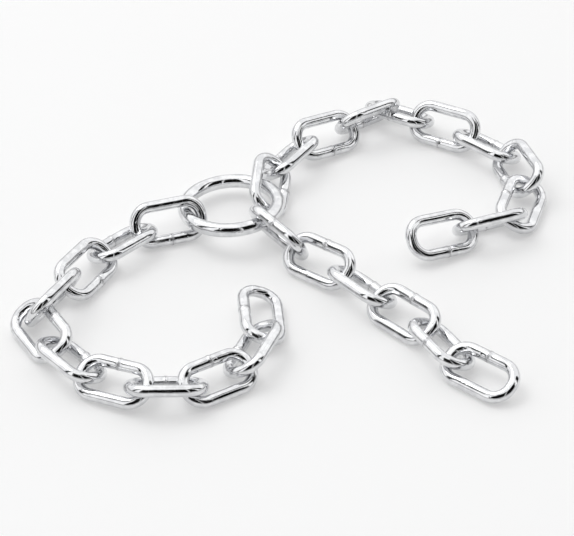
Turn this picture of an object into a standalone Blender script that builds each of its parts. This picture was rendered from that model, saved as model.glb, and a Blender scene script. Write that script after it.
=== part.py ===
"""Steel ring with three tails of welded link chain, lying as dropped on a level floor.

Metres, +Z up. The origin is on the floor at the middle of the box round the whole layout.
Tails run from the ring to the left (11 links), to the right (11 links) and to the front
(6 links). Each link hangs on a parent empty, which stands where the link bears on the piece
before it.
Run it with: blender --background --python part.py
"""

import math

import bpy
import numpy as np
from mathutils import Matrix, Vector

COLLECTION = "ring_with_three_chain_tails"

WIRE_DIAMETER = 0.005
LINK_LENGTH = 0.0338
LINK_WIDTH = 0.0202
STRAIGHT_LENGTH = 0.014
CROWN_SQUARENESS = 2.25
CROWN_STEPS = 9
LINK_SIDES_LEVEL = 2

# The ring lies on the near ends of the three links hooked on it. Its front is raised by the
# tilt and its right side by the roll, in degrees.
RING_DIAMETER = 0.0462
RING_WIRE_DIAMETER = 0.006
RING_CENTRE_HEIGHT = 0.0092
RING_TILT = -7
RING_ROLL = -3
RING_STEPS = 36
RING_SIDES = 10

# What pieces that bear on each other keep between them, and how finely contact is sought.
CLEARANCE = 0.0003
SETTLE_MARGIN = 0.00001
SETTLE_ROUNDS = 400
CONTACT_STEPS = 40

# How each link lies, from the ring outwards: the heading of its length seen from above, the
# lean of its flat side about that length and the rise of its far end, all in degrees, and
# how far the link is pushed back from a taut chain.
LEFT_TAIL = (
    (-163, -54, 0, 0),
    (-135, 25, 2, 0),
    (-120, -36, 2, 0),
    (-121, 62, 0, 0),
    (-57, 29, -1, 0.001),
    (-47, -26, 1, 0),
    (-23, 24, 4, 0.0005),
    (4, -31, -3, 0.0005),
    (31, 25, -1, 0),
    (67, -32, 1, 0),
    (95, 23, 0, 0),
)
RIGHT_TAIL = (
    (84, 41, 8, 0),
    (54, -36, 2, 0),
    (31, 41, -6, 0.0004),
    (36, -55, -4, 0),
    (-35, -25, 5, 0.002),
    (-27, 48, 1, 0),
    (-41, -28, 1, 0.0015),
    (-72, 44, 3, 0.0005),
    (-109, -24, -2, 0),
    (-160, 48, 0, 0),
    (-156, -38, 6, 0.001),
)
FRONT_TAIL = (
    (-47, -65, -6, 0),
    (-36, 37, 2, 0),
    (-47, -32, 1, 0),
    (-43, 30, 0, 0),
    (-58, -27, 0, 0),
    (-37, 22, 0, 0),
)

# Where each tail hooks on the ring: the bearing of its first link's near end from the ring's
# centre, in degrees from +X, and its distance from that centre.
LEFT_TAIL_START = (205, 0.0185)
RIGHT_TAIL_START = (13, 0.0189)
FRONT_TAIL_START = (-42, 0.0176)

STEEL_COLOUR = (0.78, 0.79, 0.80, 1.0)
STEEL_ROUGHNESS = 0.18


def clear_scene():
    """Remove every object that the file starts with."""
    for obj in list(bpy.data.objects):
        bpy.data.objects.remove(obj, do_unlink=True)


def steel(name):
    """Make a bright zinc-plated steel."""
    material = bpy.data.materials.new(name)
    material.use_nodes = True
    shader = material.node_tree.nodes["Principled BSDF"]
    shader.inputs["Base Color"].default_value = STEEL_COLOUR
    shader.inputs["Metallic"].default_value = 1.0
    shader.inputs["Roughness"].default_value = STEEL_ROUGHNESS
    return material


def crown_point(angle):
    """Give the centreline's point at an angle round a crown, from the link's tip."""
    straight_half = STRAIGHT_LENGTH / 2
    depth = (LINK_LENGTH - WIRE_DIAMETER) / 2 - straight_half
    half_width = (LINK_WIDTH - WIRE_DIAMETER) / 2
    power = 2 / CROWN_SQUARENESS
    across = math.copysign(abs(math.sin(angle)) ** power, angle)
    return straight_half + depth * abs(math.cos(angle)) ** power, half_width * across


def link_centreline(steps):
    """Give the centreline of a link in its own plane, with its length along X."""
    angles = [math.pi * (step / steps - 0.5) for step in range(steps + 1)]
    far_crown = [crown_point(angle) for angle in angles]
    near_crown = [(-x, -y) for x, y in far_crown]
    return np.array([(x, y, 0.0) for x, y in far_crown + near_crown])


def dense_loop(points, steps):
    """Put further points along each side of a closed loop."""
    ends = np.roll(points, -1, axis=0)
    shares = np.arange(steps)[:, None, None] / steps
    return (points + (ends - points) * shares).reshape(-1, 3)


def link_turn(heading, lean, rise):
    """Give the turn of a link that points, leans and rises by these degrees."""
    about_z = Matrix.Rotation(math.radians(heading), 3, "Z")
    about_y = Matrix.Rotation(math.radians(-rise), 3, "Y")
    about_x = Matrix.Rotation(math.radians(lean), 3, "X")
    return about_z @ about_y @ about_x


def ring_turn():
    """Give the turn of the ring as the links hooked on it hold it."""
    tilt = Matrix.Rotation(math.radians(RING_TILT), 3, "X")
    return tilt @ Matrix.Rotation(math.radians(RING_ROLL), 3, "Y")


def turned(points, turn):
    """Turn points about the origin."""
    return points @ np.array(turn).T


def ring_centreline():
    """Give the centreline of the ring as it lies."""
    radius = (RING_DIAMETER - RING_WIRE_DIAMETER) / 2
    angles = np.linspace(0, 2 * math.pi, 8 * CONTACT_STEPS, endpoint=False)
    flat = np.stack([np.cos(angles), np.sin(angles), 0 * angles], axis=1) * radius
    return turned(flat, ring_turn()) + np.array((0, 0, RING_CENTRE_HEIGHT))


def settle(centre, shape, bearing, contact):
    """Push a link along the floor until its wire is clear of the piece before it.

    The bearing is that piece's centreline, and contact is the least distance between
    the two centrelines.
    """
    centre = np.array(centre)
    for _ in range(SETTLE_ROUNDS):
        apart = (shape + centre)[:, None, :] - bearing[None, :, :]
        distances = np.sqrt((apart**2).sum(axis=2))
        nearest = np.unravel_index(distances.argmin(), distances.shape)
        short = contact - distances[nearest]
        if short <= 0:
            break
        push = apart[nearest] * (1, 1, 0)
        centre += push / np.linalg.norm(push) * (short + SETTLE_MARGIN)
    return Vector(centre)


def tail_poses(tail, start):
    """Work out the pivot, centre and turn of each link of a tail, from the ring outwards."""
    half_link = (LINK_LENGTH - WIRE_DIAMETER) / 2
    loop = dense_loop(link_centreline(CONTACT_STEPS), 2)
    bearing = ring_centreline()
    contact = (RING_WIRE_DIAMETER + WIRE_DIAMETER) / 2 + CLEARANCE
    angle = math.radians(start[0])
    hook = Vector((math.cos(angle), math.sin(angle), 0)) * start[1]
    poses = []
    for heading, lean, rise, slack in tail:
        turn = link_turn(heading, lean, rise)
        shape = turned(loop, turn)
        along = turn @ Vector((1, 0, 0))
        centre = hook + along * (half_link - contact / 2 - slack)
        centre.z = WIRE_DIAMETER / 2 - shape[:, 2].min()
        centre = settle(centre, shape, bearing, contact)
        poses.append((centre - along * (half_link - WIRE_DIAMETER / 2), centre, turn))
        bearing = shape + np.array(centre)
        contact = WIRE_DIAMETER + CLEARANCE
        hook = centre + along * (half_link - contact / 2)
    return poses


def add_ring(collection, material):
    """Add the ring that the three tails hook on."""
    bpy.ops.mesh.primitive_torus_add(
        major_radius=(RING_DIAMETER - RING_WIRE_DIAMETER) / 2,
        minor_radius=RING_WIRE_DIAMETER / 2,
        major_segments=RING_STEPS,
        minor_segments=RING_SIDES,
    )
    ring = bpy.context.object
    ring.name = "ring"
    ring.rotation_euler = ring_turn().to_euler()
    ring.location.z = RING_CENTRE_HEIGHT
    ring.data.shade_smooth()
    ring.data.materials.append(material)
    for home in list(ring.users_collection):
        home.objects.unlink(ring)
    collection.objects.link(ring)
    return ring


def link_wire(material):
    """Make the closed wire that every link shares."""
    wire = bpy.data.curves.new("link_wire", "CURVE")
    wire.dimensions = "3D"
    wire.bevel_depth = WIRE_DIAMETER / 2
    wire.bevel_resolution = LINK_SIDES_LEVEL
    wire.use_fill_caps = True
    points = link_centreline(CROWN_STEPS)
    spline = wire.splines.new("POLY")
    spline.points.add(len(points) - 1)
    for target, point in zip(spline.points, points):
        target.co = (*point, 1.0)
    spline.use_cyclic_u = True
    spline.use_smooth = True
    wire.materials.append(material)
    return wire


def add_tail(collection, side, tail, start, wire, ring):
    """Add the links of one tail, each under an empty at its pivot."""
    holder = ring
    for number, (pivot, centre, turn) in enumerate(tail_poses(tail, start), 1):
        empty = bpy.data.objects.new(f"{side}_pivot_{number:02d}", None)
        empty.empty_display_size = WIRE_DIAMETER
        collection.objects.link(empty)
        empty.parent = holder
        empty.matrix_world = Matrix.Translation(pivot)
        bpy.context.view_layer.update()
        link = bpy.data.objects.new(f"{side}_link_{number:02d}", wire)
        collection.objects.link(link)
        link.parent = empty
        link.location = centre - pivot
        link.rotation_euler = turn.to_euler()
        holder = empty


def centre_on_floor(collection, ring):
    """Move everything so that the origin is at the bottom centre of the box round it."""
    graph = bpy.context.evaluated_depsgraph_get()
    corners = []
    for obj in collection.objects:
        if obj.type != "EMPTY":
            solid = obj.evaluated_get(graph)
            corners += [tuple(solid.matrix_world @ corner.co) for corner in solid.to_mesh().vertices]
            solid.to_mesh_clear()
    low, high = np.min(corners, axis=0), np.max(corners, axis=0)
    middle = (low + high) / 2
    ring.location -= Vector((middle[0], middle[1], low[2]))


def main():
    clear_scene()
    collection = bpy.data.collections.new(COLLECTION)
    bpy.context.scene.collection.children.link(collection)
    ring = add_ring(collection, steel("zinc_plated_ring_steel"))
    wire = link_wire(steel("zinc_plated_link_steel"))
    bpy.context.view_layer.update()
    add_tail(collection, "left", LEFT_TAIL, LEFT_TAIL_START, wire, ring)
    add_tail(collection, "right", RIGHT_TAIL, RIGHT_TAIL_START, wire, ring)
    add_tail(collection, "front", FRONT_TAIL, FRONT_TAIL_START, wire, ring)
    bpy.context.view_layer.update()
    centre_on_floor(collection, ring)
    bpy.context.view_layer.update()


if __name__ == "__main__":
    main()
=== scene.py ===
import logging
import math
from dataclasses import dataclass
from enum import Enum

import bmesh
import bpy
import numpy as np
from mathutils import Matrix, Vector, noise


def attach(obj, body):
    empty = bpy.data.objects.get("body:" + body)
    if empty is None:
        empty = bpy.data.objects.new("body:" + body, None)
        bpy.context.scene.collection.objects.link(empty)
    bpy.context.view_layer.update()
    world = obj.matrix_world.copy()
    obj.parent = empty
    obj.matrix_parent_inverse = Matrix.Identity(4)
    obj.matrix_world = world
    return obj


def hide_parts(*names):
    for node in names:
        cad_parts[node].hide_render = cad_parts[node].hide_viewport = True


# Detailed links and ring for a steel ring with three tails of welded chain, in the frame of
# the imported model: metres, +Z up. Each piece is formed flat about the origin from one wire
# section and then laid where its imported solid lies.
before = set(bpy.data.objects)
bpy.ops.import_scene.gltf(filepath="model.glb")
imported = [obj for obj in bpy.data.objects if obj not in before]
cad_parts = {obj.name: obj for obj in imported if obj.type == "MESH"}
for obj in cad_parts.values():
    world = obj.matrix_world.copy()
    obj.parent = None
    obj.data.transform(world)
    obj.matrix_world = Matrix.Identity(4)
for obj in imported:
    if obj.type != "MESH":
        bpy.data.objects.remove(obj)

WIRE_COORDINATES = "wire_coordinates"
LOG = logging.getLogger("chain")

# Places nearer each other than this are one place, in metres and in decimals of a metre.
JOIN_DISTANCE = 0.00001
DECIMALS = 7

# What a mask gives at the two ends of its range.
RISING = (0.0, 1.0)
FALLING = (1.0, 0.0)

WHITE = (1.0, 1.0, 1.0, 1.0)

# Where a Mix node of each kind has its two inputs and its result.
MIX_SOCKETS = {"FLOAT": (2, 3, 0), "RGBA": (6, 7, 2)}


class Side(Enum):
    """The bar of a link with the weld on it, seen from above and looking away from the ring."""

    LEFT = "L"
    RIGHT = "R"


class Slot(Enum):
    """Names for the ring's and the links' material slots."""

    RING = "ring_steel"
    LINK = "link_steel"


@dataclass(frozen=True)
class Weld:
    """A butt weld across a wire: a low bead with a fine seam in it and a burr on one side.

    Heights, widths and the reach are in metres, and the burr's angle round the wire in radians.
    """

    bead_height: float = 0.0001
    bead_width: float = 0.0005
    seam_depth: float = 0.00012
    seam_width: float = 0.00013
    burr: float = 0.0002
    burr_angle: float = 0.9
    burr_sharpness: int = 6
    burr_shortness: float = 0.8
    reach: float = 0.003

    def lift(self, along: float, angle: float) -> float:
        """Give how far the wire's surface stands out at a place near the weld.

        Args:
            along: Distance from the weld along the wire, in metres.
            angle: Angle round the wire, in radians.

        Returns:
            The lift in metres, negative in the seam and nought beyond the weld's reach.
        """
        if abs(along) >= self.reach:
            return 0.0
        bead = self.bead_height * math.exp(-((along / self.bead_width) ** 2))
        seam = self.seam_depth * math.exp(-((along / self.seam_width) ** 2))
        facing = 0.5 + 0.5 * math.cos(angle - self.burr_angle)
        fade = math.exp(-((along / self.bead_width * self.burr_shortness) ** 2))
        return bead + self.burr * facing**self.burr_sharpness * fade - seam


@dataclass(frozen=True)
class Wire:
    """Round wire of one diameter, with the slight unevenness of formed stock.

    Its waves come closer together across the wire than along it, and each piece's waves start
    elsewhere, by its seed times the seed's steps.
    """

    diameter: float
    sides: int
    waviness: float
    wave_length: float
    waves_across: float = 1.2
    waves_along: float = 0.35
    seed_steps: tuple = (7.3, 3.1)

    @property
    def radius(self) -> float:
        """Give half the diameter."""
        return self.diameter / 2

    def section(self, shape: bmesh.types.BMesh, centre: Vector) -> list:
        """Start a shape with one circle of the wire, facing along +X.

        Args:
            shape: The empty mesh to start in.
            centre: Where the wire's middle is.

        Returns:
            The circle's vertices and edges.
        """
        place = Matrix.Translation(centre) @ Matrix.Rotation(math.radians(90), 4, "Y")
        made = bmesh.ops.create_circle(
            shape, cap_ends=False, radius=self.radius, segments=self.sides, matrix=place
        )
        return list(made["verts"]) + list(shape.edges)

    def unevenness(self, flat: Vector, seed: float) -> float:
        """Give a small rise or fall of the surface at a place on the wire.

        Args:
            flat: The place on the wire: two across its section, then the length along it.
            seed: What tells one piece from the next.

        Returns:
            The rise in metres.
        """
        across, along = self.waves_across, self.waves_along
        waves = Vector((flat.x * across, flat.y * across, flat.z * along))
        shift = Vector((seed * self.seed_steps[0], seed * self.seed_steps[1], 0))
        return self.waviness * noise.noise(waves / self.wave_length + shift)


def run_on(shape: bmesh.types.BMesh, ring: list, step: Vector, lengths: list[float]) -> list:
    """Extrude a wire's end circle straight on.

    Args:
        shape: The mesh that it is in.
        ring: The end circle's vertices and edges.
        step: The direction, of length one.
        lengths: How far each extrusion goes, in metres.

    Returns:
        The vertices and edges of the new end circle.
    """
    for length in lengths:
        edges = [part for part in ring if isinstance(part, bmesh.types.BMEdge)]
        made = bmesh.ops.extrude_edge_only(shape, edges=edges)["geom"]
        verts = [part for part in made if isinstance(part, bmesh.types.BMVert)]
        fresh = set(verts)
        edges = [
            part
            for part in made
            if isinstance(part, bmesh.types.BMEdge) and set(part.verts) <= fresh
        ]
        bmesh.ops.translate(shape, verts=verts, vec=step * length)
        ring = verts + edges
    return ring


def turn_on(
    shape: bmesh.types.BMesh, ring: list, centre: Vector, degrees: float, steps: int
) -> list:
    """Spin a wire's end circle on round an upright axis.

    Args:
        shape: The mesh that it is in.
        ring: The end circle's vertices and edges.
        centre: A point on the axis.
        degrees: The angle, clockwise where it is negative.
        steps: How many steps it takes.

    Returns:
        The vertices and edges of the new end circle.
    """
    made = bmesh.ops.spin(
        shape,
        geom=ring,
        cent=centre,
        axis=(0, 0, 1),
        dvec=(0, 0, 0),
        angle=math.radians(degrees),
        steps=steps,
        use_merge=False,
        use_duplicate=False,
    )
    return list(made["geom_last"])


def close_up(shape: bmesh.types.BMesh) -> None:
    """Join a tube's last circle to its first and point its faces outwards."""
    bmesh.ops.remove_doubles(shape, verts=shape.verts, dist=JOIN_DISTANCE)
    bmesh.ops.recalc_face_normals(shape, faces=shape.faces)


def even(total: float, count: int) -> list[float]:
    """Split a length into equal steps."""
    return [total / count] * count


def clamped(share: float) -> float:
    """Keep a share between nought and one."""
    return max(0.0, min(1.0, share))


@dataclass(frozen=True)
class Pose:
    """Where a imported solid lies: its middle and the directions of its length, width and flat."""

    centre: Vector
    along: Vector
    across: Vector
    flat: Vector

    def matrix(self) -> Matrix:
        """Give the transform that lays a flat piece at this pose."""
        turn = Matrix((self.along, self.across, self.flat)).transposed().to_4x4()
        return Matrix.Translation(self.centre) @ turn


def points_of(node: str) -> np.ndarray:
    """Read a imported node's vertices at rest.

    Args:
        node: The node's name.

    Returns:
        One row per vertex, in metres.
    """
    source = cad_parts[node]
    corners = np.array([tuple(source.matrix_world @ vert.co) for vert in source.data.vertices])
    return np.unique(np.round(corners, DECIMALS), axis=0)


def pose_of(node: str, behind: Vector) -> Pose:
    """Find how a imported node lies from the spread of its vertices.

    Args:
        node: The node's name.
        behind: A point that its length leads away from.

    Returns:
        The pose, with the flat side's direction upwards.
    """
    corners = points_of(node)
    middle = corners.mean(axis=0)
    _, _, axes = np.linalg.svd(corners - middle, full_matrices=False)
    centre, along, flat = Vector(middle), Vector(axes[0]), Vector(axes[2])
    if along.dot(centre - behind) < 0:
        along.negate()
    if flat.z < 0:
        flat.negate()
    return Pose(centre, along, flat.cross(along), flat)


def level_axes(flat: Vector) -> tuple[Vector, Vector]:
    """Give the two directions in a flat side, the first as near +X as it goes."""
    along = (Vector((1, 0, 0)) - flat * flat.x).normalized()
    return along, flat.cross(along)


def round_pose_of(node: str) -> Pose:
    """Find how a packed round node lies, with its length as near +X as it goes."""
    pose = pose_of(node, Vector((-1, 0, 0)))
    return Pose(pose.centre, *level_axes(pose.flat), pose.flat)


@dataclass
class ChainLink:
    """One welded link: two straight bars and two squarish bends of round wire.

    The flat piece has its length along X, its flat side up and its weld at the middle of the
    +Y bar. Each bend is pressed a little flat, and worn to a seat on its inner side. A start
    says how far from the middle this sets in, and a fade over what length. The press's start
    is a share of half a bar.
    """

    node: str
    number: int
    pose: Pose
    weld_side: Side
    wire: Wire
    weld: Weld
    length: float = 0.0338
    width: float = 0.0202
    bend_radius: float = 0.0069
    bend_steps: int = 12
    weld_steps: tuple = (0.0001, 0.0001, 0.00015, 0.0002, 0.0003, 0.0004)
    half_bar_steps: int = 7
    bar_steps: int = 18
    crown_steps: int = 3
    least_turn: float = 0.0001
    press_depth: float = 0.00007
    press_start: float = 0.75
    press_fade: float = 0.004
    press_sharpness: int = 8
    seat_depth: float = 0.00018
    seat_start: float = 0.0075
    seat_fade: float = 0.002
    seat_sharpness: float = 1.5

    @property
    def half_bar(self) -> float:
        """Give half the length of a straight bar."""
        return (self.length - self.wire.diameter) / 2 - self.bend_radius

    @property
    def half_crown(self) -> float:
        """Give half the length of the straight across an end."""
        return (self.width - self.wire.diameter) / 2 - self.bend_radius

    def build(self) -> bpy.types.Object:
        """Form the link flat, work its surface, and lay it where its solid lies.

        Returns:
            The finished piece.
        """
        shape = bmesh.new()
        self.bend(shape)
        close_up(shape)
        layer = shape.verts.layers.float_vector.new(WIRE_COORDINATES)
        for vert in shape.verts:
            outward, flat, angle = self.unroll(vert.co)
            vert[layer] = flat
            vert.co += outward * self.relief(vert.co, flat, angle)
        flip = Matrix.Scale(-1, 4, (0, 1, 0)) if self.weld_side is Side.RIGHT else Matrix()
        bmesh.ops.transform(shape, matrix=self.pose.matrix() @ flip, verts=shape.verts)
        bmesh.ops.recalc_face_normals(shape, faces=shape.faces)
        return piece_from(shape, self.node + "_formed")

    def bend(self, shape: bmesh.types.BMesh) -> None:
        """Run the wire once round the link, from its weld back to its weld."""
        fine = list(self.weld_steps)
        bar, crown = self.half_bar, self.half_crown
        rest = even(bar - sum(fine), self.half_bar_steps)
        across = even(2 * crown, self.crown_steps)
        sides = (
            ((1, 0, 0), fine + rest, (bar, crown, 0)),
            ((0, -1, 0), across, (bar, -crown, 0)),
            ((-1, 0, 0), even(2 * bar, self.bar_steps), (-bar, -crown, 0)),
            ((0, 1, 0), across, (-bar, crown, 0)),
        )
        ring = self.wire.section(shape, Vector((0, crown + self.bend_radius, 0)))
        for direction, lengths, corner in sides:
            ring = run_on(shape, ring, Vector(direction), lengths)
            ring = turn_on(shape, ring, Vector(corner), -90, self.bend_steps)
        run_on(shape, ring, Vector((1, 0, 0)), rest + fine[::-1])

    def unroll(self, point: Vector) -> tuple[Vector, Vector, float]:
        """Find where a point of the flat link is on its wire.

        Args:
            point: The point, in the flat link's own frame.

        Returns:
            The direction out of the wire, the place on the wire (two across its section, then
            the length along it from the weld) and the angle round it.
        """
        inner = Vector(
            (
                max(-self.half_bar, min(self.half_bar, point.x)),
                max(-self.half_crown, min(self.half_crown, point.y)),
                0,
            )
        )
        away = Vector((point.x, point.y, 0)) - inner
        away.normalize()
        core = inner + away * self.bend_radius
        outward = (point - core).normalized()
        angle = math.atan2(point.z, (point - core).dot(away))
        turned = math.atan2(away.x, away.y)
        arc = self.bend_radius * turned
        half_way = math.copysign(self.half_crown, turned)
        along = inner.x if away.y > 0 else math.copysign(2 * self.half_bar, turned) - inner.x
        along += arc + half_way - math.copysign(1, turned) * inner.y
        if abs(turned) < self.least_turn:
            along = inner.x
        radius = self.wire.radius
        return outward, Vector((math.cos(angle) * radius, math.sin(angle) * radius, along)), angle

    def relief(self, point: Vector, flat: Vector, angle: float) -> float:
        """Give how far the surface stands out at a place on the link.

        Args:
            point: The place in the flat link's own frame.
            flat: The place on the wire.
            angle: The angle round the wire, nought on the link's outer side.

        Returns:
            The height in metres.
        """
        bent = clamped((abs(point.x) - self.half_bar * self.press_start) / self.press_fade)
        pressed = self.press_depth * bent * abs(math.sin(angle)) ** self.press_sharpness
        inside = max(0.0, -math.cos(angle)) ** self.seat_sharpness
        in_bend = inside * clamped((abs(point.x) - self.seat_start) / self.seat_fade)
        lift = self.weld.lift(flat.z, angle) if point.y > 0 else 0.0
        uneven = self.wire.unevenness(flat, self.number) * (1 - in_bend)
        return lift - pressed - self.seat_depth * in_bend + uneven


@dataclass
class CentreRing:
    """The welded ring of thicker wire that the three tails hook on.

    It is spun flat with its weld on +Y, and then turned until the weld is at its bearing, in
    degrees from +X. The wire is divided more finely close to the weld.
    """

    node: str
    pose: Pose
    wire: Wire
    weld: Weld
    diameter: float = 0.0462
    weld_bearing: float = -43.0
    fine_steps: int = 14
    fine_degrees: float = 5.0
    steps: int = 132
    seed: float = 0.5

    def build(self) -> bpy.types.Object:
        """Spin the ring flat, work its surface, and lay it where its solid lies.

        Returns:
            The finished piece.
        """
        shape = bmesh.new()
        radius = (self.diameter - self.wire.diameter) / 2
        ring = self.wire.section(shape, Vector((0, radius, 0)))
        ring = turn_on(shape, ring, Vector(), -self.fine_degrees, self.fine_steps)
        ring = turn_on(shape, ring, Vector(), 2 * self.fine_degrees - 360, self.steps)
        turn_on(shape, ring, Vector(), -self.fine_degrees, self.fine_steps)
        close_up(shape)
        layer = shape.verts.layers.float_vector.new(WIRE_COORDINATES)
        for vert in shape.verts:
            away = Vector((vert.co.x, vert.co.y, 0)).normalized()
            core = away * radius
            angle = math.atan2(vert.co.z, (vert.co - core).dot(away))
            along = math.atan2(vert.co.x, vert.co.y) * radius
            thick = self.wire.radius
            flat = Vector((math.cos(angle) * thick, math.sin(angle) * thick, along))
            vert[layer] = flat
            lift = self.weld.lift(along, angle) + self.wire.unevenness(flat, self.seed)
            vert.co += (vert.co - core).normalized() * lift
        turn = Matrix.Rotation(math.radians(self.weld_bearing - 90), 4, "Z")
        bmesh.ops.transform(shape, matrix=self.pose.matrix() @ turn, verts=shape.verts)
        bmesh.ops.recalc_face_normals(shape, faces=shape.faces)
        return piece_from(shape, self.node + "_formed")


def order_faces(shape: bmesh.types.BMesh) -> None:
    """Sort the faces by their corners, because an extrusion leaves them in no fixed order."""
    shape.verts.index_update()
    count = len(shape.verts)

    def rank(face: bmesh.types.BMFace) -> int:
        low, middle, high = sorted(vert.index for vert in face.verts)[:3]
        return (low * count + middle) * count + high

    shape.faces.sort(key=rank)


def piece_from(shape: bmesh.types.BMesh, name: str) -> bpy.types.Object:
    """Make an object at the origin from a shape, smooth all over, and free the shape.

    Args:
        shape: The finished mesh.
        name: The object's name.

    Returns:
        The object, linked to the scene.
    """
    order_faces(shape)
    mesh = bpy.data.meshes.new(name)
    shape.to_mesh(mesh)
    shape.free()
    mesh.shade_smooth()
    made = bpy.data.objects.new(name, mesh)
    bpy.context.scene.collection.objects.link(made)
    return made


class Nodes:
    """Adds shader nodes to one tree and links them, in few words."""

    def __init__(self, tree: bpy.types.NodeTree) -> None:
        """Keep the tree."""
        self.tree = tree

    def add(self, kind: str, **settings) -> bpy.types.Node:
        """Add a node and set its properties."""
        node = self.tree.nodes.new(kind)
        for name, value in settings.items():
            setattr(node, name, value)
        return node

    def put(self, target: bpy.types.NodeSocket, source: object) -> None:
        """Link a socket to another, or set it to a value."""
        if isinstance(source, bpy.types.NodeSocket):
            self.tree.links.new(source, target)
        else:
            target.default_value = source

    def math(self, operation: str, *values: object) -> bpy.types.NodeSocket:
        """Add a Math node and give its result."""
        node = self.add("ShaderNodeMath", operation=operation)
        for target, value in zip(node.inputs, values):
            self.put(target, value)
        return node.outputs[0]

    def scaled(self, vector: object, by: object) -> bpy.types.NodeSocket:
        """Multiply two vectors, number by number."""
        node = self.add("ShaderNodeVectorMath", operation="MULTIPLY")
        self.put(node.inputs[0], vector)
        self.put(node.inputs[1], by)
        return node.outputs[0]

    def spread(self, value: object, low: object, high: object, out: tuple) -> bpy.types.NodeSocket:
        """Add a smooth Map Range node from low and high to the two values of out."""
        node = self.add("ShaderNodeMapRange", interpolation_type="SMOOTHSTEP")
        self.put(node.inputs["Value"], value)
        self.put(node.inputs["From Min"], low)
        self.put(node.inputs["From Max"], high)
        self.put(node.inputs["To Min"], out[0])
        self.put(node.inputs["To Max"], out[1])
        return node.outputs["Result"]

    def noise(self, vector: object, scale: object, detail: float) -> bpy.types.NodeSocket:
        """Add a Noise Texture and give its value."""
        node = self.add("ShaderNodeTexNoise")
        self.put(node.inputs["Vector"], vector)
        self.put(node.inputs["Scale"], scale)
        node.inputs["Detail"].default_value = detail
        return node.outputs[0]

    def mixed(
        self, kind: str, share: object, first: object, second: object
    ) -> bpy.types.NodeSocket:
        """Mix two values or two colours by a mask."""
        low, high, result = MIX_SOCKETS[kind]
        node = self.add("ShaderNodeMix", data_type=kind)
        self.put(node.inputs[0], share)
        self.put(node.inputs[low], first)
        self.put(node.inputs[high], second)
        return node.outputs[result]


def new_group(name: str, inputs: dict, outputs: dict) -> tuple:
    """Start a shader node group with named sockets.

    Args:
        name: The group's name.
        inputs: Socket kind and starting value for each input's name.
        outputs: Socket kind for each output's name.

    Returns:
        The group, its node builder, the input node's sockets and the output node's sockets.
    """
    group = bpy.data.node_groups.new(name, "ShaderNodeTree")
    for label, (kind, value) in inputs.items():
        made = group.interface.new_socket(name=label, in_out="INPUT", socket_type=kind)
        if value is not None:
            made.default_value = value
    for label, kind in outputs.items():
        group.interface.new_socket(name=label, in_out="OUTPUT", socket_type=kind)
    nodes = Nodes(group)
    given = nodes.add("NodeGroupInput").outputs
    taken = nodes.add("NodeGroupOutput").inputs
    return group, nodes, given, taken


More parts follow.
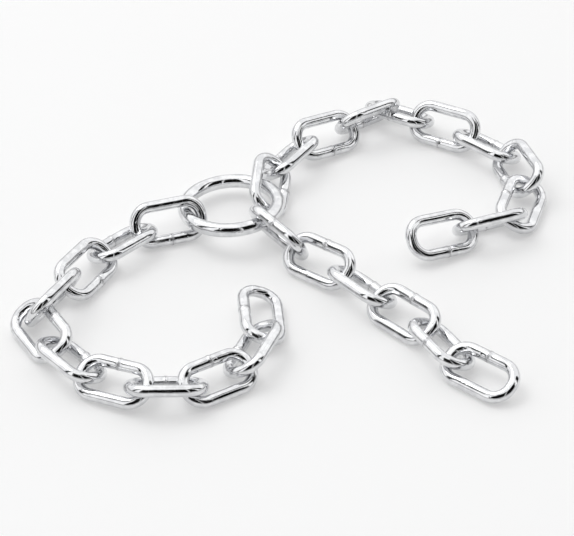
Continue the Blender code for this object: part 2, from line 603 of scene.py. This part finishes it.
class ShopEffects:
    """The effects that the finishes share, each a node group built once.

    A mask is the range of a noise over which its effect sets in.
    """

    line_detail = 3.0
    line_mask = (0.52, 0.66)
    cloud_detail = 2.0
    cloud_mask = (0.38, 0.66)
    grain_ratio = 16.0
    wander_stretch = (1.0, 1.0, 0.4)
    wander_scale = 900.0
    wander_detail = 2.0
    wander_width = 0.0006
    crust_scale = 4200.0
    crust_detail = 3.0
    pit_size = 0.32
    rare_ratio = 0.4
    rare_detail = 1.0
    rare_mask = (0.56, 0.68)

    def __init__(self) -> None:
        """Build every group."""
        self.drawn = self.drawn_lines()
        self.cloud = self.plating_cloud()
        self.band = self.weld_band()
        self.knocks = self.handling_knocks()

    def drawn_lines(self) -> bpy.types.NodeTree:
        """Build the fine lines that a drawing die leaves along a wire."""
        group, nodes, given, taken = new_group(
            "drawn_lines",
            {
                "Wire": ("NodeSocketVector", None),
                "Lines": ("NodeSocketFloat", 3000.0),
                "Stretch": ("NodeSocketFloat", 0.02),
            },
            {"Height": "NodeSocketFloat", "Mask": "NodeSocketFloat"},
        )
        squeeze = nodes.add("ShaderNodeCombineXYZ")
        nodes.put(squeeze.inputs[0], given["Lines"])
        nodes.put(squeeze.inputs[1], given["Lines"])
        nodes.put(squeeze.inputs[2], nodes.math("MULTIPLY", given["Lines"], given["Stretch"]))
        height = nodes.noise(nodes.scaled(given["Wire"], squeeze.outputs[0]), 1.0, self.line_detail)
        nodes.put(taken["Height"], height)
        nodes.put(taken["Mask"], nodes.spread(height, *self.line_mask, RISING))
        return group

    def plating_cloud(self) -> bpy.types.NodeTree:
        """Build the soft milky patches of bright zinc plate."""
        group, nodes, given, taken = new_group(
            "plating_cloud",
            {
                "Position": ("NodeSocketVector", None),
                "Scale": ("NodeSocketFloat", 260.0),
            },
            {"Mask": "NodeSocketFloat", "Grain": "NodeSocketFloat"},
        )
        cloud = nodes.noise(given["Position"], given["Scale"], self.cloud_detail)
        fine = nodes.math("MULTIPLY", given["Scale"], self.grain_ratio)
        nodes.put(taken["Mask"], nodes.spread(cloud, *self.cloud_mask, RISING))
        nodes.put(taken["Grain"], nodes.noise(given["Position"], fine, self.cloud_detail))
        return group

    def weld_band(self) -> bpy.types.NodeTree:
        """Build the band of scale and heat tint beside a weld, and the dark seam in it."""
        group, nodes, given, taken = new_group(
            "weld_band",
            {
                "Wire": ("NodeSocketVector", None),
                "Half Width": ("NodeSocketFloat", 0.0016),
                "Seam Width": ("NodeSocketFloat", 0.00022),
            },
            {"Band": "NodeSocketFloat", "Seam": "NodeSocketFloat", "Scale": "NodeSocketFloat"},
        )
        parts = nodes.add("ShaderNodeSeparateXYZ")
        nodes.put(parts.inputs[0], given["Wire"])
        squeezed = nodes.scaled(given["Wire"], self.wander_stretch)
        wander = nodes.noise(squeezed, self.wander_scale, self.wander_detail)
        shift = nodes.math("MULTIPLY", nodes.math("SUBTRACT", wander, 0.5), self.wander_width)
        away = nodes.math("ABSOLUTE", nodes.math("ADD", parts.outputs[2], shift))
        nodes.put(taken["Band"], nodes.spread(away, 0.0, given["Half Width"], FALLING))
        nodes.put(taken["Seam"], nodes.spread(away, 0.0, given["Seam Width"], FALLING))
        crust = nodes.noise(given["Wire"], self.crust_scale, self.crust_detail)
        nodes.put(taken["Scale"], crust)
        return group

    def handling_knocks(self) -> bpy.types.NodeTree:
        """Build the shallow dents and scuffs of links tumbled against each other."""
        group, nodes, given, taken = new_group(
            "handling_knocks",
            {
                "Position": ("NodeSocketVector", None),
                "Scale": ("NodeSocketFloat", 420.0),
            },
            {"Height": "NodeSocketFloat", "Scuff": "NodeSocketFloat"},
        )
        cells = nodes.add("ShaderNodeTexVoronoi", feature="F1")
        nodes.put(cells.inputs["Vector"], given["Position"])
        nodes.put(cells.inputs["Scale"], given["Scale"])
        pit = nodes.spread(cells.outputs["Distance"], 0.0, self.pit_size, RISING)
        broad = nodes.math("MULTIPLY", given["Scale"], self.rare_ratio)
        rare = nodes.noise(given["Position"], broad, self.rare_detail)
        chosen = nodes.spread(rare, *self.rare_mask, RISING)
        dent = nodes.math("MULTIPLY", nodes.math("SUBTRACT", 1.0, pit), chosen)
        nodes.put(taken["Height"], nodes.math("SUBTRACT", 1.0, dent))
        nodes.put(taken["Scuff"], dent)
        return group


@dataclass(frozen=True)
class ZincPlate:
    """Bright zinc plate over drawn wire.

    A dulling is what its effect adds to the roughness, and a bump is a depth in metres.
    """

    name: str
    tint: tuple
    dark_seam: tuple
    roughness: tuple
    lines: float
    cloud_scale: float
    knock_scale: float
    line_bump: float
    weld_bump: float
    knock_bump: float = 0.00007
    bright: tuple = (0.67, 0.675, 0.69, 1.0)
    milky: tuple = (0.80, 0.805, 0.815, 1.0)
    line_tint: float = 0.16
    seam_breaks: tuple = (0.40, 0.62)
    seam_strength: tuple = (0.15, 0.9)
    line_dulling: float = 0.05
    grain_dulling: float = 0.03
    scuff_dulling: float = 0.10
    weld_dulling: float = 0.16

    def material(self, effects: ShopEffects) -> bpy.types.Material:
        """Build the finish.

        Args:
            effects: The shared node groups.

        Returns:
            The material.
        """
        made = bpy.data.materials.new(self.name)
        made.use_nodes = True
        shader = made.node_tree.nodes["Principled BSDF"]
        shader.inputs["Metallic"].default_value = 1.0
        nodes = Nodes(made.node_tree)
        place = nodes.add("ShaderNodeTexCoord").outputs["Object"]
        wire = nodes.add("ShaderNodeAttribute", attribute_name=WIRE_COORDINATES)
        drawn = self.placed(nodes, effects.drawn, Wire=wire.outputs["Vector"], Lines=self.lines)
        cloud = self.placed(nodes, effects.cloud, Position=place, Scale=self.cloud_scale)
        band = self.placed(nodes, effects.band, Wire=wire.outputs["Vector"])
        knocks = self.placed(nodes, effects.knocks, Position=place, Scale=self.knock_scale)
        nodes.put(shader.inputs["Base Color"], self.colour(nodes, drawn, cloud, band))
        nodes.put(shader.inputs["Roughness"], self.gloss(nodes, drawn, cloud, band, knocks))
        nodes.put(shader.inputs["Normal"], self.surface(nodes, drawn, band, knocks))
        return made

    def placed(self, nodes: Nodes, group: bpy.types.NodeTree, **values: object) -> object:
        """Put a shared group into the material and give its outputs."""
        node = nodes.add("ShaderNodeGroup", node_tree=group)
        for name, value in values.items():
            nodes.put(node.inputs[name], value)
        return node.outputs

    def colour(self, nodes: Nodes, drawn: object, cloud: object, band: object) -> object:
        """Give the colour: bright plate clouding to milky, tinted and darkened at the weld."""
        plate = nodes.mixed("RGBA", cloud["Mask"], self.bright, self.milky)
        lined = nodes.math("MULTIPLY", drawn["Mask"], self.line_tint)
        plate = nodes.mixed("RGBA", lined, plate, self.tint)
        speckled = nodes.math("MULTIPLY", band["Band"], band["Scale"])
        plate = nodes.mixed("RGBA", speckled, plate, self.tint)
        broken = nodes.spread(band["Scale"], *self.seam_breaks, self.seam_strength)
        seam = nodes.math("MULTIPLY", band["Seam"], broken)
        return nodes.mixed("RGBA", seam, plate, self.dark_seam)

    def gloss(
        self, nodes: Nodes, drawn: object, cloud: object, band: object, knocks: object
    ) -> object:
        """Give the roughness: duller in milky patches, along lines, in scuffs and at the weld."""
        rough = nodes.spread(cloud["Mask"], 0.0, 1.0, self.roughness)
        for mask, dulling in (
            (drawn["Mask"], self.line_dulling),
            (cloud["Grain"], self.grain_dulling),
            (knocks["Scuff"], self.scuff_dulling),
            (band["Band"], self.weld_dulling),
        ):
            rough = nodes.math("ADD", rough, nodes.math("MULTIPLY", mask, dulling))
        return rough

    def surface(self, nodes: Nodes, drawn: object, band: object, knocks: object) -> object:
        """Give the normal: drawing lines, dents and weld scale, each through its own bump."""
        normal = None
        weld = nodes.math("MULTIPLY", band["Band"], band["Scale"])
        layers = (
            (knocks["Height"], self.knock_bump),
            (drawn["Height"], self.line_bump),
            (weld, self.weld_bump),
        )
        for height, depth in layers:
            bump = nodes.add("ShaderNodeBump")
            bump.inputs["Strength"].default_value = 1.0
            bump.inputs["Distance"].default_value = depth
            nodes.put(bump.inputs["Height"], height)
            if normal is not None:
                nodes.put(bump.inputs["Normal"], normal)
            normal = bump.outputs["Normal"]
        return normal


@dataclass
class ChainTail:
    """One run of links from the ring outwards, with a letter for the side of each one's weld."""

    name: str
    welds: str
    links_before: int
    wire: Wire
    weld: Weld

    def build(self, start: Vector, finish: bpy.types.Material) -> None:
        """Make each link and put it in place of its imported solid.

        Args:
            start: The middle of the ring that the tail hooks on.
            finish: The links' material.
        """
        behind = start
        for count, letter in enumerate(self.welds, 1):
            node = f"{self.name}_link_{count:02d}"
            pose = pose_of(node, behind)
            number = self.links_before + count
            link = ChainLink(node, number, pose, Side(letter), self.wire, self.weld)
            dress(link.build(), node, finish)
            behind = pose.centre


def dress(piece: bpy.types.Object, node: str, finish: bpy.types.Material) -> None:
    """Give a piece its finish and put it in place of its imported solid.

    Args:
        piece: The finished piece.
        node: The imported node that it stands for, which is also its body's name.
        finish: Its material.
    """
    piece.data.materials.append(finish)
    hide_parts(node)
    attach(piece, node)
    LOG.info("%s: %d faces", piece.name, len(piece.data.polygons))


@dataclass(frozen=True)
class Camera:
    """The photograph's view: how high, how far off and how narrow it looks.

    The first three values and the target are rounded from a camera fitted to the photo.
    """

    elevation: float = 40.59
    distance: float = 0.894
    lens: float = 132.72
    sensor: float = 36.0
    nearest: float = 0.01
    target: tuple = (-0.00034, -0.01254, 0.0)

    def back(self) -> Vector:
        """Give the direction from the target to the camera."""
        rise = math.radians(self.elevation)
        return Vector((0, -math.cos(rise), math.sin(rise)))

    def build(self) -> None:
        """Make the camera and use it."""
        data = bpy.data.cameras.new("camera")
        data.lens = self.lens
        data.sensor_width = self.sensor
        data.sensor_fit = "HORIZONTAL"
        data.clip_start = self.nearest
        camera = bpy.data.objects.new("camera", data)
        camera.location = Vector(self.target) + self.back() * self.distance
        camera.rotation_euler = self.back().to_track_quat("Z", "Y").to_euler()
        bpy.context.scene.collection.objects.link(camera)
        bpy.context.scene.camera = camera


@dataclass(frozen=True)
class Studio:
    """A white tent over a pale floor, with dark gaps in the tent round where the camera looks in.

    The gaps' bearings are in degrees to the right of the camera, and the horizon's top, the
    gaps' half height and their soft edge in degrees too. The floor lies a little under the links.
    """

    floor_size: float = 6.0
    floor_drop: float = 0.00005
    floor_roughness: float = 0.75
    floor_sheen: float = 0.1
    floor_colour: tuple = (0.62, 0.62, 0.62, 1.0)
    # Painted glow: light that the floor gives off itself, which lifts the shadows on it.
    painted_floor_glow: float = 0.33
    sky: float = 1.2
    horizon: float = 0.32
    horizon_top: float = 20.0
    gap_darkness: float = 0.006
    gap_half_height: float = 26.0
    gap_bearings: tuple = ((-78.0, -66.0), (-36.0, 19.0), (25.0, 68.0), (84.0, 102.0))
    edge: float = 2.0
    lamp_power: float = 12.0
    lamp_size: float = 1.2
    lamp_place: tuple = (-0.9, 0.8, 1.9)

    def build(self, camera: Camera) -> None:
        """Make the floor, the tent and the lamp, and show colours as they are."""
        self.floor()
        self.tent(camera)
        self.lamp()
        view = bpy.context.scene.view_settings
        view.view_transform = "Standard"
        view.look = "None"

    def floor(self) -> None:
        """Make the plain pale floor, with a painted glow of its own that keeps its shadows light.
        """
        shape = bmesh.new()
        bmesh.ops.create_grid(shape, x_segments=1, y_segments=1, size=self.floor_size / 2)
        bmesh.ops.translate(shape, verts=shape.verts, vec=(0, 0, -self.floor_drop))
        ground = piece_from(shape, "floor")
        plain = bpy.data.materials.new("pale_floor")
        plain.use_nodes = True
        shader = plain.node_tree.nodes["Principled BSDF"]
        shader.inputs["Base Color"].default_value = self.floor_colour
        shader.inputs["Roughness"].default_value = self.floor_roughness
        shader.inputs["Specular IOR Level"].default_value = self.floor_sheen
        # Painted glow: the floor emits white light of its own, which makes its shadows lighter.
        shader.inputs["Emission Color"].default_value = WHITE
        shader.inputs["Emission Strength"].default_value = self.painted_floor_glow
        ground.data.materials.append(plain)

    def tent(self, camera: Camera) -> None:
        """Make the white surroundings, greyer near the floor, with the dark gaps."""
        world = bpy.data.worlds.new("tent")
        bpy.context.scene.world = world
        world.use_nodes = True
        nodes = Nodes(world.node_tree)
        parts = nodes.add("ShaderNodeSeparateXYZ")
        nodes.put(parts.inputs[0], nodes.add("ShaderNodeTexCoord").outputs["Generated"])
        height = nodes.math("DEGREES", nodes.math("ARCSINE", parts.outputs[2]))
        back = nodes.math("MULTIPLY", parts.outputs[1], -1.0)
        aside = nodes.math("DEGREES", nodes.math("ARCTAN2", parts.outputs[0], back))
        level = nodes.spread(height, 0.0, self.horizon_top, (self.horizon, self.sky))
        off = nodes.math("ABSOLUTE", nodes.math("SUBTRACT", height, camera.elevation))
        tall = nodes.spread(off, self.gap_half_height, self.gap_half_height + self.edge, FALLING)
        broad: object = 0.0
        for left, right in self.gap_bearings:
            off = nodes.math("ABSOLUTE", nodes.math("SUBTRACT", aside, (left + right) / 2))
            half = (right - left) / 2
            open_here = nodes.spread(off, half, half + self.edge, FALLING)
            broad = nodes.math("MAXIMUM", broad, open_here)
        gap = nodes.math("MULTIPLY", tall, broad)
        strength = nodes.mixed("FLOAT", gap, level, self.gap_darkness)
        background = world.node_tree.nodes["Background"]
        nodes.put(background.inputs["Strength"], strength)
        background.inputs["Color"].default_value = WHITE

    def lamp(self) -> None:
        """Make the one broad soft lamp, behind and to the left."""
        data = bpy.data.lights.new("soft_lamp", "AREA")
        data.energy = self.lamp_power
        data.size = self.lamp_size
        lamp = bpy.data.objects.new("soft_lamp", data)
        lamp.location = self.lamp_place
        lamp.rotation_euler = Vector(self.lamp_place).to_track_quat("Z", "Y").to_euler()
        bpy.context.scene.collection.objects.link(lamp)


def report_size() -> None:
    """Bring the scene's placements up to date."""
    bpy.context.view_layer.update()


def link_plate() -> ZincPlate:
    """Give the links' finish."""
    return ZincPlate(
        name="bright_zinc_on_links",
        tint=(0.52, 0.52, 0.53, 1.0),
        dark_seam=(0.12, 0.12, 0.13, 1.0),
        roughness=(0.045, 0.13),
        lines=2600.0,
        cloud_scale=260.0,
        knock_scale=420.0,
        line_bump=0.00001,
        weld_bump=0.00008,
    )


def ring_plate() -> ZincPlate:
    """Give the ring's finish, a little glossier than the links'."""
    return ZincPlate(
        name="bright_zinc_on_ring",
        tint=(0.55, 0.55, 0.56, 1.0),
        dark_seam=(0.14, 0.14, 0.15, 1.0),
        roughness=(0.04, 0.12),
        lines=2200.0,
        cloud_scale=220.0,
        knock_scale=360.0,
        line_bump=0.000012,
        weld_bump=0.0001,
    )


def main() -> None:
    """Build the ring, the three tails, the studio and the camera."""
    logging.basicConfig(level=logging.INFO, format="%(name)s: %(message)s")
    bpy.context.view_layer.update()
    effects = ShopEffects()
    link_finish = link_plate().material(effects)
    ring_finish = ring_plate().material(effects)
    weld = Weld()
    ring_wire = Wire(diameter=0.006, sides=36, waviness=0.00005, wave_length=0.0045)
    link_wire = Wire(diameter=0.005, sides=32, waviness=0.00007, wave_length=0.0035)
    ring_pose = round_pose_of("ring")
    ring = CentreRing("ring", ring_pose, ring_wire, weld)
    dress(ring.build(), "ring", ring_finish)
    links_before = 0
    for name, welds in (("left", "LRLRLLLLLLL"), ("right", "RLRLRRLRRRL"), ("front", "RLLLRL")):
        tail = ChainTail(name, welds, links_before, link_wire, weld)
        tail.build(ring_pose.centre, link_finish)
        links_before += len(welds)
    camera = Camera()
    camera.build()
    Studio().build(camera)
    report_size()


if __name__ == "__main__":
    main()
